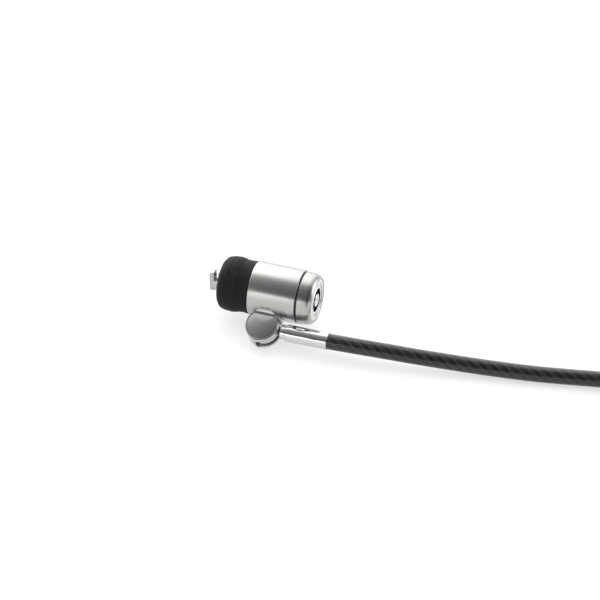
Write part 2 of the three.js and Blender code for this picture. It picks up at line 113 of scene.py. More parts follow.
def curve_through(points, step):
    """Points about step apart on a centripetal Catmull-Rom curve through the given ones."""
    points = [Vector(point) for point in points]
    ends = [2 * points[0] - points[1], *points, 2 * points[-1] - points[-2]]
    line = []
    for a, b, c, d in zip(ends, ends[1:], ends[2:], ends[3:]):
        t1 = (b - a).length ** 0.5
        t2 = t1 + (c - b).length ** 0.5
        t3 = t2 + (d - c).length ** 0.5
        count = max(1, round((c - b).length / step))
        for i in range(count):
            t = t1 + (t2 - t1) * i / count
            ab = a.lerp(b, t / t1)
            bc = b.lerp(c, (t - t1) / (t2 - t1))
            cd = c.lerp(d, (t - t2) / (t3 - t2))
            abc = ab.lerp(bc, t / t2)
            bcd = bc.lerp(cd, (t - t1) / (t3 - t1))
            line.append(abc.lerp(bcd, (t - t1) / (t2 - t1)))
    return [*line, points[-1]]


def rounded(corners, steps=5):
    """A line through [a, b, round] corners, each rounded by an arc that starts `round` before it."""
    line = []
    for i, (a, b, size) in enumerate(corners):
        here = Vector((a, b))
        if not size or i in (0, len(corners) - 1):
            line.append(here)
            continue
        before = Vector(corners[i - 1][:2]) - here
        after = Vector(corners[i + 1][:2]) - here
        start = here + before.normalized() * min(size, 0.48 * before.length)
        end = here + after.normalized() * min(size, 0.48 * after.length)
        for k in range(steps + 1):
            u = k / steps
            line.append(start * (1 - u) ** 2 + here * 2 * u * (1 - u) + end * u * u)
    return line


def quarter_round(size, steps):
    """An edge's quarter circle in steps: pairs that run from (0, size) to (size, 0)."""
    turns = [math.pi / 2 * k / steps for k in range(steps + 1)]
    return [(size * (1 - math.cos(a)), size * (1 - math.sin(a))) for a in turns]


# ---- meshes ----------------------------------------------------------------------------------------

def mesh_object(name, verts, faces):
    mesh = bpy.data.meshes.new(name)
    mesh.from_pydata([tuple(v) for v in verts], [], faces)
    obj = bpy.data.objects.new(name, mesh)
    bpy.context.scene.collection.objects.link(obj)
    tidy = bmesh.new()
    tidy.from_mesh(mesh)
    bmesh.ops.remove_doubles(tidy, verts=tidy.verts, dist=1e-5)
    bmesh.ops.recalc_face_normals(tidy, faces=tidy.faces)
    tidy.to_mesh(mesh)
    tidy.free()
    return obj


def loft(name, rings, closed=False, capped=True):
    """Joins rings of equally many points, and closes the ends with caps or on each other."""
    count = len(rings[0])
    verts = [point for ring in rings for point in ring]
    faces = []
    pairs = len(rings) if closed else len(rings) - 1
    for i in range(pairs):
        here, there = i * count, (i + 1) % len(rings) * count
        for j in range(count):
            k = (j + 1) % count
            faces.append((here + j, here + k, there + k, there + j))
    if capped and not closed:
        faces.append(tuple(range(count))[::-1])
        faces.append(tuple(range(len(verts) - count, len(verts))))
    return mesh_object(name, verts, faces)


def lathe(name, profile, segments=144, closed=False, radius_at=None):
    """A body turned about X. The profile lists (x, r); radius_at may reshape the skin."""
    rings = []
    for x, r in profile:
        ring = []
        for j in range(segments):
            angle = 2 * math.pi * j / segments
            reach = radius_at(x, angle, r) if radius_at else r
            ring.append((x, reach * math.cos(angle), reach * math.sin(angle)))
        rings.append(ring)
    return loft(name, rings, closed)


def plate(name, outline, low, high, edge=0.0, steps=3):
    """A flat plate of an [x, y] outline between two heights, with its edges rounded by `edge`."""
    centre = sum((Vector(p) for p in outline), Vector((0, 0))) / len(outline)
    levels = [(low, 0.0)]
    if edge:
        levels = [(low + up, inset) for inset, up in reversed(quarter_round(edge, steps))]
    top = [(high - (z - low), inset) for z, inset in reversed(levels)]
    rings = []
    for z, inset in [*levels, *top]:
        ring = []
        for p in outline:
            out = Vector(p) - centre
            q = centre + out * (1 - inset / max(out.length, 1e-6))
            ring.append((q.x, q.y, z))
        rings.append(ring)
    return loft(name, rings)


def box(name, low, high):
    x, y, z = zip(low, high)
    verts = [(a, b, c) for a in x for b in y for c in z]
    faces = [(0, 1, 3, 2), (4, 6, 7, 5), (0, 4, 5, 1), (2, 3, 7, 6), (0, 2, 6, 4), (1, 5, 7, 3)]
    return mesh_object(name, verts, faces)


def circle(radius, count=96, centre=(0, 0)):
    turns = [2 * math.pi * j / count for j in range(count)]
    return [(centre[0] + radius * math.cos(a), centre[1] + radius * math.sin(a)) for a in turns]


def baked(obj):
    """Applies the object's modifiers."""
    bpy.context.view_layer.update()
    depsgraph = bpy.context.evaluated_depsgraph_get()
    mesh = bpy.data.meshes.new_from_object(obj.evaluated_get(depsgraph))
    obj.modifiers.clear()
    obj.data = mesh
    return obj


def combine(target, operation, *others):
    for other in others:
        step = target.modifiers.new("combine", "BOOLEAN")
        step.operation = operation
        step.solver = "EXACT"
        step.object = other
        baked(target)
        bpy.data.objects.remove(other)
    return target


def join(target, *others):
    return combine(target, "UNION", *others)


def cut(target, *others):
    return combine(target, "DIFFERENCE", *others)


def eased(obj, width, segments=2, limit=35):
    """Rounds the sharp edges, as a tumbled or polished edge is."""
    step = obj.modifiers.new("ease", "BEVEL")
    step.width = width
    step.segments = segments
    step.limit_method = "ANGLE"
    step.angle_limit = math.radians(limit)
    step.use_clamp_overlap = True
    return baked(obj)


def placed(obj, place, body, looks, nodes=(), sharp=40):
    """Moves a finished millimetre mesh to its place in the row, and gives it its finish and body.

    Edges sharper than `sharp` degrees stay hard in the shading.
    """
    obj.data.transform(place)
    shape = bmesh.new()
    shape.from_mesh(obj.data)
    for face in shape.faces:
        face.smooth = True
    for edge in shape.edges:
        edge.smooth = len(edge.link_faces) == 2 and edge.calc_face_angle(0) < math.radians(sharp)
    shape.to_mesh(obj.data)
    shape.free()
    for look in looks if isinstance(looks, (list, tuple)) else [looks]:
        obj.data.materials.append(look)
    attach(obj, body)
    if nodes:
        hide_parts(*nodes)
    return obj


# ---- materials -------------------------------------------------------------------------------------

class Look:
    """One procedural material on the Principled shader, in the object's own coordinates."""

    def __init__(self, name, color, roughness, **sockets):
        self.material = bpy.data.materials.new(name)
        self.material.use_nodes = True
        self.tree = self.material.node_tree
        self.shader = self.tree.nodes["Principled BSDF"]
        self.place = self.node("ShaderNodeTexCoord").outputs["Object"]
        self.shader.inputs["Base Color"].default_value = (*color, 1)
        self.shader.inputs["Roughness"].default_value = roughness
        for socket, value in sockets.items():
            self.shader.inputs[socket.replace("_", " ")].default_value = value

    def node(self, kind, **settings):
        made = self.tree.nodes.new(kind)
        for key, value in settings.items():
            setattr(made, key, value)
        return made

    def link(self, source, target):
        self.tree.links.new(source, target)

    def noise(self, size_mm, detail=2.0, stretch=(1, 1, 1), rough=0.5):
        """Noise whose grains are about size_mm, drawn out along the axes by stretch."""
        mapping = self.node("ShaderNodeMapping")
        mapping.inputs["Scale"].default_value = [1 / (size_mm * MM * s) for s in stretch]
        self.link(self.place, mapping.inputs["Vector"])
        grain = self.node("ShaderNodeTexNoise")
        grain.inputs["Scale"].default_value = 1
        grain.inputs["Detail"].default_value = detail
        grain.inputs["Roughness"].default_value = rough
        self.link(mapping.outputs["Vector"], grain.inputs["Vector"])
        return grain.outputs["Fac"]

    def spread(self, value, low, high, between=(0.3, 0.7)):
        """Maps a value to a range."""
        made = self.node("ShaderNodeMapRange")
        made.inputs["From Min"].default_value = between[0]
        made.inputs["From Max"].default_value = between[1]
        made.inputs["To Min"].default_value = low
        made.inputs["To Max"].default_value = high
        self.link(value, made.inputs["Value"])
        return made.outputs["Result"]

    def math(self, operation, first, second):
        made = self.node("ShaderNodeMath", operation=operation)
        for socket, value in zip(made.inputs, (first, second)):
            if isinstance(value, (int, float)):
                socket.default_value = value
            else:
                self.link(value, socket)
        return made.outputs["Value"]

    def mixed(self, value, first, second):
        made = self.node("ShaderNodeMix", data_type="RGBA")
        self.link(value, made.inputs["Factor"])
        made.inputs["A"].default_value = (*first, 1)
        made.inputs["B"].default_value = (*second, 1)
        return made.outputs["Result"]

    def bump(self, height, depth_mm, strength=1.0):
        made = self.node("ShaderNodeBump")
        made.inputs["Distance"].default_value = depth_mm * MM
        made.inputs["Strength"].default_value = strength
        self.link(height, made.inputs["Height"])
        self.link(made.outputs["Normal"], self.shader.inputs["Normal"])


def metal(name, color, roughness, grain_mm, depth_mm, swing=0.05, stretch=(1, 1, 1), tint=0.9):
    """Bare or plated metal: fine grain in the relief, slow drift in colour and in roughness."""
    look = Look(name, color, roughness, Metallic=1.0)
    grain = look.noise(grain_mm, 3, stretch)
    drift = look.noise(4.0, 3)
    mixed = look.math("ADD", look.math("MULTIPLY", grain, 0.5), look.math("MULTIPLY", drift, 0.5))
    rough = look.spread(mixed, roughness - swing, roughness + swing)
    look.link(rough, look.shader.inputs["Roughness"])
    darker = tuple(c * tint for c in color)
    look.link(look.mixed(look.spread(mixed, 0, 1), color, darker), look.shader.inputs["Base Color"])
    look.bump(grain, depth_mm)
    return look.material


def rubber_look():
    look = Look("moulded_rubber", (0.01, 0.01, 0.0105), 0.6)
    look.shader.inputs["Specular IOR Level"].default_value = 0.13
    grain = look.noise(0.25, 4)
    cloud = look.noise(2.2, 3, stretch=(0.6, 1, 1))
    look.link(look.mixed(look.spread(cloud, 0, 1), (0.006, 0.006, 0.0062), (0.014, 0.014, 0.0145)),
              look.shader.inputs["Base Color"])
    look.link(look.spread(cloud, 0.52, 0.72), look.shader.inputs["Roughness"])
    look.bump(look.math("ADD", grain, look.math("MULTIPLY", cloud, 3.0)), 0.02, 0.7)
    return look.material


def jacket_look():
    """Smoke-clear vinyl over a laid steel rope: the strands show as a slanting pattern below a gloss."""
    look = Look("smoked_vinyl", (0.02, 0.021, 0.023), 0.35)
    shader = look.shader
    shader.inputs["Coat Weight"].default_value = 0.8
    shader.inputs["Specular IOR Level"].default_value = 0.06
    shader.inputs["Coat Roughness"].default_value = 0.05
    shader.inputs["Coat IOR"].default_value = 1.5
    strand = look.node("ShaderNodeAttribute", attribute_name="strand")
    split = look.node("ShaderNodeSeparateXYZ")
    look.link(strand.outputs["Vector"], split.inputs["Vector"])
    around, along = split.outputs["X"], split.outputs["Y"]

    def waves(per_turn, per_metre):
        """Ridges that wind round the cable, from 0 to 0.5 and back."""
        turns = look.math("ADD", look.math("MULTIPLY", around, per_turn),
                          look.math("MULTIPLY", along, per_metre))
        return look.math("PINGPONG", turns, 0.5)

    strands = look.math("MULTIPLY", waves(6, -320), 2)
    wires = look.math("MULTIPLY", waves(15, -900), 2)
    lay = look.math("MULTIPLY", look.math("ADD", 0.25, look.math("MULTIPLY", strands, 0.75)),
                    look.math("ADD", 0.12, look.math("POWER", wires, 1.6)))
    look.link(look.mixed(look.spread(lay, 0, 1, (0.1, 0.85)), (0.003, 0.0031, 0.0033),
                         (0.050, 0.052, 0.055)), shader.inputs["Base Color"])
    look.link(look.spread(lay, 0.5, 0.3, (0, 1)), shader.inputs["Roughness"])
    look.bump(lay, 0.05, 0.5)
    wear = look.noise(0.6, 3)
    skin = look.node("ShaderNodeBump")
    skin.inputs["Distance"].default_value = 0.02 * MM
    look.link(look.math("ADD", wear, look.math("MULTIPLY", strands, 0.9)), skin.inputs["Height"])
    look.link(skin.outputs["Normal"], shader.inputs["Coat Normal"])
    return look.material


def nylon_look():
    look = Look("black_nylon", (0.012, 0.012, 0.013), 0.42)
    grain = look.noise(0.2, 2)
    look.link(look.spread(grain, 0.36, 0.5), look.shader.inputs["Roughness"])
    look.bump(grain, 0.01)
    return look.material


def strap_look():
    look = Look("hook_and_loop_strap", (0.02, 0.02, 0.022), 0.9)
    look.shader.inputs["Sheen Weight"].default_value = 0.15
    look.shader.inputs["Sheen Roughness"].default_value = 0.5
    fuzz = look.noise(0.35, 4)
    rib = look.noise(0.5, 1, stretch=(6, 0.5, 0.5))
    both = look.math("ADD", look.math("MULTIPLY", fuzz, 0.6), look.math("MULTIPLY", rib, 0.5))
    look.link(look.mixed(look.spread(both, 0, 1), (0.006, 0.006, 0.0065), (0.032, 0.032, 0.034)),
              look.shader.inputs["Base Color"])
    look.bump(both, 0.25)
    return look.material


SATIN = metal("satin_nickel", (0.46, 0.455, 0.445), 0.27, 0.2, 0.012)
POLISHED = metal("polished_nickel", (0.64, 0.64, 0.63), 0.11, 0.5, 0.0015, 0.03)
CRIMPED = metal("crimped_nickel", (0.62, 0.62, 0.61), 0.12, 1.2, 0.012, 0.04, (2.5, 1, 1))
TURNED_STEEL = metal("turned_steel", (0.45, 0.455, 0.46), 0.30, 0.2, 0.004, 0.06, (0.3, 3, 3))
SPRING_WIRE = metal("spring_wire", (0.38, 0.39, 0.40), 0.28, 0.1, 0.003)
BRASS = metal("machined_brass", (0.62, 0.45, 0.20), 0.30, 0.2, 0.004, 0.06, (0.3, 3, 3))
RUBBER = rubber_look()
JACKET = jacket_look()
NYLON = nylon_look()
STRAP = strap_look()

SLOT_LOOKS = {
    "satin_nickel": SATIN, "polished_nickel": POLISHED, "brass": BRASS, "steel": TURNED_STEEL,
    "spring_steel": SPRING_WIRE, "rubber": RUBBER, "black_nylon": NYLON, "cable_jacket": JACKET,
    "tie_strap": STRAP,
}


def paint_cad_nodes():
    """Gives every CAD node that stays in sight the finish of its material slot."""
    for row in frame["record"]["subparts"]:
        look = SLOT_LOOKS[row["material_slot"]]
        mesh = frame["nodes"][row["node"]].data
        mesh.materials.clear()
        mesh.materials.append(look)


paint_cad_nodes()


# ---- cable -----------------------------------------------------------------------------------------

CABLE_D = 4.7
# The hank: its left bend's centre, its straight run, the inner lane's bend, the pitch of its two lanes
# and four layers, and the first layer's height.
HANK = {"x": 131, "y": -12.95, "run": 56, "inner": 14.5, "pitch": 4.75, "first": 3.7}
HANK_TURNS, STEPS_A_TURN = 7.5, 36
# Where in its turn the last change of lane or layer comes, how much later in its turn each earlier one
# comes, and how much of a turn a change takes.
CHANGE_AT, CHANGE_LEAD, CHANGE_SHARE = 0.47, 0.058, 0.15
# The loop's bend, and half the distance between its two strands in their ferrule.
LOOP_BEND = 19
STRAND_HALF = 2.42
LOOP_FERRULE_LENGTH = 12

# From the crimp ferrule's mouth to the hank, in millimetres.
LEAD = [
    (19.8, -6.15, 5.24), (25.0, -5.98, 5.26), (31.0, -5.52, 5.1), (38.0, -4.72, 4.72),
    (46.0, -3.66, 4.12), (54.0, -2.4, 3.5), (62.0, -1.2, 2.98), (70.0, 0.0, 2.6),
    (79.0, 1.3, 2.4), (88.0, 2.85, 2.36), (96.0, 4.3, 2.42), (103.0, 5.35, 2.65),
    (109.5, 5.98, 3.1), (115.8, 6.25, 3.5),
]

# Up over the near tie, round the hank's left end and into the loop's ferrule.
TAIL = [
    (180.0, -32.2, 17.95), (173.0, -32.2, 18.05), (166.0, -32.2, 19.3), (159.0, -32.2, 21.2),
    (152.0, -32.2, 23.1), (145.5, -32.2, 24.15),
    (135.0, -32.2, 24.3), (131.0, -32.2, 24.3), (126.0, -31.3, 24.3), (121.6, -28.8, 24.3),
    (118.3, -24.9, 24.3), (116.7, -20.2, 24.3), (116.7, -15.2, 24.3), (118.5, -10.4, 24.3),
    (121.7, -6.6, 24.3), (126.0, -4.1, 24.3), (131.0, -3.2, 24.3), (135.9, -4.1, 24.3),
    (140.0, -6.5, 24.3), (143.6, -8.8, 24.3), (147.4, -10.2, 24.3), (151.2, -10.5, 24.3),
]


def hank_point(turn):
    """The cable's centre after that many turns, counted from the far run's left end."""
    outer = HANK["inner"] + HANK["pitch"]
    radius, height = outer, HANK["first"]
    steps = [(-1, 0), (0, 1), (1, 0), (0, 1), (-1, 0), (0, 1), (1, 0)]
    for k, (sideways, upward) in enumerate(steps):
        start = k + CHANGE_AT + CHANGE_LEAD * (len(steps) - 1 - k)
        share = smooth_step((turn - start) / CHANGE_SHARE)
        radius += sideways * HANK["pitch"] * share
        height += upward * HANK["pitch"] * share
    mean = HANK["inner"] + HANK["pitch"] / 2
    run_share = HANK["run"] / (2 * HANK["run"] + 2 * math.pi * mean)
    half = turn % 0.5
    along = min(half / run_share, 1.0) * HANK["run"]
    swing = max(0.0, (half - run_share) / (0.5 - run_share)) * math.pi
    offset = Vector((along + radius * math.sin(swing), radius * math.cos(swing)))
    if turn % 1.0 >= 0.5:
        offset = Vector((HANK["run"], 0)) - offset
    return (HANK["x"] + offset.x, HANK["y"] + offset.y, height)


def loop_points():
    """Out of the loop's ferrule on the left strand, round, and back in on the right one."""
    x0, y0, z0 = TAIL[-1]
    start = x0 + LOOP_FERRULE_LENGTH
    spread = math.acos((LOOP_BEND + STRAND_HALF) / (2 * LOOP_BEND))
    out = []
    for i in range(6):
        angle = spread * i / 6
        aside = LOOP_BEND * (1 - math.cos(angle))
        out.append((start + LOOP_BEND * math.sin(angle), STRAND_HALF + aside))
    centre = start + 2 * LOOP_BEND * math.sin(spread)
    sweep = math.pi + 2 * spread
    bend = []
    for i in range(25):
        angle = sweep / 2 - sweep * i / 24
        bend.append((centre + LOOP_BEND * math.cos(angle), LOOP_BEND * math.sin(angle)))
    back = [(x, -y) for x, y in reversed(out)]
    inside = [(x0 + 6, STRAND_HALF)]
    end = [(x0 + 6, -STRAND_HALF), (x0 - 0.8, -STRAND_HALF)]
    return [(x, y0 - STRAND_HALF + y, z0) for x, y in [*inside, *out, *bend, *back, *end]]


def cable_path():
    turns = [hank_point(i / STEPS_A_TURN) for i in range(int(HANK_TURNS * STEPS_A_TURN) + 1)]
    return curve_through([*LEAD, *turns, *TAIL, *loop_points()], 1.6)


def cable_tube(name, path, radius, sides=20):
    """A tube along a path, with the rope's angle and length kept as an attribute for its strands."""
    normal = Vector((0, 0, 1))
    rings, lengths = [], [0.0]
    for i, point in enumerate(path):
        tangent = (path[min(i + 1, len(path) - 1)] - path[max(i - 1, 0)]).normalized()
        normal = (normal - tangent * normal.dot(tangent)).normalized()
        side = tangent.cross(normal)
        turns = [2 * math.pi * j / sides for j in range(sides)]
        rings.append([point + (normal * math.cos(a) + side * math.sin(a)) * radius for a in turns])
        if i:
            lengths.append(lengths[-1] + (point - path[i - 1]).length)
    verts = [point for ring in rings for point in ring]
    faces, around = [], []
    for i in range(len(rings) - 1):
        for j in range(sides):
            k = (j + 1) % sides
            faces.append((i * sides + j, i * sides + k, (i + 1) * sides + k, (i + 1) * sides + j))
            near, far = lengths[i] * MM, lengths[i + 1] * MM
            low, high = j / sides, (j + 1) / sides
            around += [(low, near, 0), (high, near, 0), (high, far, 0), (low, far, 0)]
    faces.append(tuple(range(sides))[::-1])
    faces.append(tuple(range(len(verts) - sides, len(verts))))
    around += [(0, 0, 0)] * (2 * sides)
    mesh = bpy.data.meshes.new(name)
    mesh.from_pydata([tuple(v) for v in verts], [], faces)
    strand = mesh.attributes.new("strand", "FLOAT_VECTOR", "CORNER")
    strand.data.foreach_set("vector", [value for corner in around for value in corner])
    obj = bpy.data.objects.new(name, mesh)
    bpy.context.scene.collection.objects.link(obj)
    return obj


CABLE_PATH = cable_path()
cable = cable_tube("steel_cable", CABLE_PATH, CABLE_D / 2)
placed(cable, ROW, "cable_end", JACKET,
       ("cable_lead", "cable_hank", "cable_tail", "cable_loop"))


# ---- swivel sleeve and knuckle -----------------------------------------------------------------------

SLEEVE_START, SLEEVE_END = stations("swivel_sleeve")
SLEEVE_REAR_R, SLEEVE_FRONT_R, SLEEVE_BORE_R = 8.15, 8.05, 6.42
CHEEK_R, CHEEK_HALF = 5.0, 2.9
SLOT_HALF, EYE_R, PIN_R = 1.7, 4.65, 1.6
BEAK = Vector((-0.85, -5.35))
BEAK_BLUNT, BEAK_BLUNT_SPAN = 0.12, 0.09
INLAY_R, INLAY_FLAT, INLAY_DEPTH, INLAY_CROWN = 4.4, 3.15, 0.6, 0.42
FILLET_START, FILLET_R = 3.15, 1.6


def beaked_radius(angle):
    """The knuckle's outline: a circle, drawn out to the beak along its two tangents."""
    lead = math.atan2(BEAK.y, BEAK.x)
    away = abs((angle - lead + math.pi) % (2 * math.pi) - math.pi)
    span = math.acos(CHEEK_R / BEAK.length)
    if away >= span:
        return CHEEK_R
    tip = CHEEK_R / math.cos(span - away)
    return tip - BEAK_BLUNT * max(0.0, 1 - away / BEAK_BLUNT_SPAN) ** 2


def knuckle_top(y):
    """Height of the knuckle's top: flat, then rising on a hollow round that ends short of upright."""
    rise = min(0.99, max(0.0, (y - FILLET_START) / FILLET_R))
    return CHEEK_HALF + FILLET_R * (1 - math.sqrt(1 - rise ** 2))


def knuckle_body():
    """Rings from the middle of the underside round its edge, up the side and in over the top."""
    edge = 0.4
    angles = [2 * math.pi * j / 240 for j in range(240)]

    def ring(inset, drop, bottom=False):
        points = []
        for a in angles:
            r = beaked_radius(a) - inset
            x, y = r * math.cos(a), r * math.sin(a)
            z = -CHEEK_HALF + drop if bottom else knuckle_top(y) - drop
            points.append((x, y, z))
        return points

    rings = []
    for share in (0.02, 0.25, 0.5, 0.7, 0.82, 0.9):
        rings.append([(x * share, y * share, -CHEEK_HALF) for x, y, _ in ring(0, 0, True)])
    rings += [ring(inset, drop, True) for drop, inset in quarter_round(edge, 4)]
    rings += [ring(inset, drop) for inset, drop in quarter_round(edge, 4)]
    for share in [*(0.97 - 0.025 * k for k in range(16)), 0.4, 0.2, 0.02]:
        points = [(x * share, y * share) for x, y, _ in ring(0, 0)]
        rings.append([(x, y, knuckle_top(y)) for x, y in points])
    return loft("knuckle", rings)


def stop_wall():
    """The short wall between the cheeks that the link rests against, on a tangent of the knuckle."""
    tangent = math.radians(62.5)
    out = Vector((math.cos(tangent), math.sin(tangent)))
    along = Vector((out.y, -out.x))
    corners = [along * -2.2 + out * 4.3, along * -2.2 + out * 5.03,
               along * 3.45 + out * 5.05, along * 3.45 + out * 4.4]
    wall = plate("stop_wall", corners, -CHEEK_HALF + 0.2, CHEEK_HALF - 0.15)
    return eased(wall, 0.28, 4)


def arc_points(radius, start, end, count):
    turns = [math.radians(start + (end - start) * i / count) for i in range(count + 1)]
    return [Vector((radius * math.cos(a), radius * math.sin(a))) for a in turns]


def inlay_outline(grow):
    """The disc's outline, wider by grow: a circle with a flat on the barrel's side."""
    reach = INLAY_R + grow
    start = math.degrees(math.asin((INLAY_FLAT + grow) / reach))
    return arc_points(reach, start, -180 - start, 96)


def is_polished(point):
    """Whether a point is on the bright rim round the disc or on the stop wall's side of the window."""
    x, y, z = point
    on_rim = INLAY_R < math.hypot(x, y) < CHEEK_R + 0.6 and z > CHEEK_HALF - 0.36 and y < FILLET_START
    on_lip = x > 1.0 and 1.0 < y < PIVOT_OUT - SLEEVE_REAR_R + 1.2 and abs(z) < CHEEK_HALF
    return on_rim or on_lip


def make_sleeve():
    """Barrel, knuckle and stop wall in one, cut by the window, the pin's hole and the disc's recess."""
    profile = rounded([
        (SLEEVE_START, SLEEVE_BORE_R, 0), (SLEEVE_START, SLEEVE_REAR_R, 0.22),
        (SLEEVE_END, SLEEVE_FRONT_R, 0.22), (SLEEVE_END, SLEEVE_BORE_R, 0),
    ])
    barrel = lathe("sleeve_body", profile, 192, closed=True)
    barrel.data.transform(Matrix.Translation((-PIVOT_X, PIVOT_OUT, 0)))
    join(barrel, knuckle_body(), stop_wall())
    slot = plate("slot", circle(EYE_R + 0.12, 96), -SLOT_HALF, SLOT_HALF)
    window = [Vector((0, 0)), *arc_points(CHEEK_R + 1.5, -99, 17, 24)]
    mouth = plate("mouth", window, -SLOT_HALF, SLOT_HALF)
    pin_hole = plate("pin_hole", circle(PIN_R + 0.03, 64), -CHEEK_HALF - 1, CHEEK_HALF - 0.2)
    recess = plate("recess", inlay_outline(0.05), CHEEK_HALF - INLAY_DEPTH, CHEEK_HALF + 0.6)
    cut(barrel, slot, mouth, pin_hole, recess)
    eased(barrel, 0.05)
    placed(barrel, KNUCKLE, "swivel", [SATIN, POLISHED], ("swivel_sleeve",), 32)
    into = KNUCKLE.inverted()
    for face in barrel.data.polygons:
        face.material_index = int(is_polished(into @ face.center))
    return barrel


def make_inlay():
    """Crowned disc with a flat on the barrel's side."""
    low, edge = CHEEK_HALF - INLAY_DEPTH + 0.03, 0.1
    rings = [[(p.x, p.y, low) for p in inlay_outline(0)]]
    for inset, drop in quarter_round(edge, 3):
        rings.append([(p.x, p.y, CHEEK_HALF - drop) for p in inlay_outline(-inset)])
    for share in (0.85, 0.6, 0.35, 0.12, 0.01):
        lift = INLAY_CROWN * (1 - share * share)
        rings.append([(p.x * share, p.y * share, CHEEK_HALF + lift) for p in inlay_outline(-edge)])
    inlay = loft("pivot_disc", rings)
    return placed(inlay, KNUCKLE, "swivel", SATIN, ("pivot_inlay",))


def make_pivot_pin():
    low, high = -CHEEK_HALF - 0.02, CHEEK_HALF - INLAY_DEPTH - 0.02
    profile = rounded([(low, 0, 0), (low, PIN_R, 0.25), (high, PIN_R, 0.1), (high, 0, 0)])
    pin = lathe("pivot_rivet", profile, 64)
    pin.data.transform(Matrix.Rotation(-math.pi / 2, 4, "Y"))
    return placed(pin, KNUCKLE, "swivel", TURNED_STEEL, ("pivot_pin",))


make_sleeve()
make_inlay()
make_pivot_pin()


# ---- link and crimp ferrule, from the pivot along +X ---------------------------------------------------

EYE_HALF = 1.6
NECK_START, NECK_R = 5.5, 2.2
STUB_LENGTH, STUB_R = 4.5, 1.6
FERRULE_START, FERRULE_END, FERRULE_R = 7.25, 19.9, 2.55
ROPE_START, ROPE_END, ROPE_R = FERRULE_START + 4.8, FERRULE_END + 0.35, 1.57

# Marks of the crimping jaws: place along the ferrule, degrees round it, half the length in millimetres,
# half the width in degrees, and depth.
CRIMP_MARKS = [
    (11.4, 66, 1.5, 9, 0.13), (11.7, 147, 0.45, 8, 0.24), (11.4, -60, 0.8, 11, 0.12),
    (11.2, 240, 1.4, 12, 0.12), (15.6, 60, 2.0, 5, 0.03),
]


def make_link():
    """Flat eye round the pin, a web, and a round neck with a stub that reaches into the ferrule."""
    eye = plate("link_eye", circle(EYE_R, 96), -EYE_HALF, EYE_HALF, 0.15)
    web = box("web", (3.5, -1.05, -1.5), (NECK_START + 0.3, 1.05, 1.5))
    shoulder, tip = FERRULE_START - 0.05, FERRULE_START + STUB_LENGTH
    neck = lathe("neck", rounded([
        (NECK_START, 0, 0), (NECK_START, NECK_R, 0.3), (shoulder, NECK_R, 0.1),
        (shoulder, STUB_R, 0), (tip, STUB_R, 0), (tip, 0, 0),
    ]), 96)
    join(eye, web, neck)
    cut(eye, plate("eye_bore", circle(PIN_R + 0.08, 64), -3, 3))
    eased(eye, 0.06)
    return placed(eye, KNUCKLE, "cable_end", POLISHED, ("cable_link",), 32)


def crimp(x, angle, radius):
    """The ferrule's skin with the crimping marks and a slight wave; its bore stays plain."""
    if radius <= FERRULE_R - 0.2:
        return radius
    degrees = math.degrees(angle)
    depth = 0.0
    for at_x, at_angle, long, wide, deep in CRIMP_MARKS:
        away = (degrees - at_angle + 180) % 360 - 180
        far = math.hypot((x - at_x) / long, away / wide)
        depth += deep * math.exp(-far ** 4)
    wave = noise.noise(Vector((x * 0.35, math.cos(angle) * 1.2, math.sin(angle) * 1.2)))
    ends = smooth_step((x - FERRULE_START) / 0.8) * smooth_step((FERRULE_END - x) / 0.8)
    return radius - (depth + 0.03 * wave) * ends


def make_ferrule():
    body = [(FERRULE_START + 0.3 + 0.15 * i, FERRULE_R, 0) for i in range(82)]
    profile = rounded([
        (FERRULE_START, 1.65, 0), (FERRULE_START, FERRULE_R - 0.02, 0.12), *body,
        (FERRULE_END, FERRULE_R - 0.02, 0.14), (FERRULE_END, 2.0, 0.1), (FERRULE_END - 0.5, 1.9, 0.1),
        (FERRULE_END - 0.5, 1.65, 0),
    ], 4)
    ferrule = lathe("ferrule_sleeve", profile, 144, closed=True, radius_at=crimp)
    return placed(ferrule, KNUCKLE, "cable_end", CRIMPED, ("crimp_ferrule",), 50)


def make_rope_end():
    """The bare rope in the ferrule: six strands laid round a seventh."""
    rings = []
    for i in range(64):
        x = ROPE_START + (ROPE_END - ROPE_START) * i / 63
        ring = []
        for j in range(72):
            a = 2 * math.pi * j / 72
            strand = abs(math.cos(3 * (a - x * 0.55)))
            r = ROPE_R - 0.22 + 0.2 * math.sqrt(strand)
            ring.append((x, r * math.cos(a), r * math.sin(a)))
        rings.append(ring)
    rope = loft("bare_rope", rings)
    return placed(rope, KNUCKLE, "cable_end", TURNED_STEEL, ("rope_end",))


make_link()
make_ferrule()
make_rope_end()


# ---- lock core -----------------------------------------------------------------------------------------

CAP_START, BARREL_END = stations("front_cap")
CAP_R, CORE_R, KEYWAY_R, POST_R = 7.9, 6.3, 3.5, 1.95
CORE_START, CORE_BORE_R = 3.5, 5.3
KEYWAY_FLOOR = 23.2
PLUG_START, PLUG_SHOULDER, PLUG_R = 19.53, 27.3, 5.2
KEY_PINS, KEY_PIN_R, PIN_CIRCLE_R = 7, 0.7, 2.75
# Half the thickness of what goes through the security slot, and how far the bar reaches across it.
BAR_HALF, BAR_REACH = 1.3, 3.3


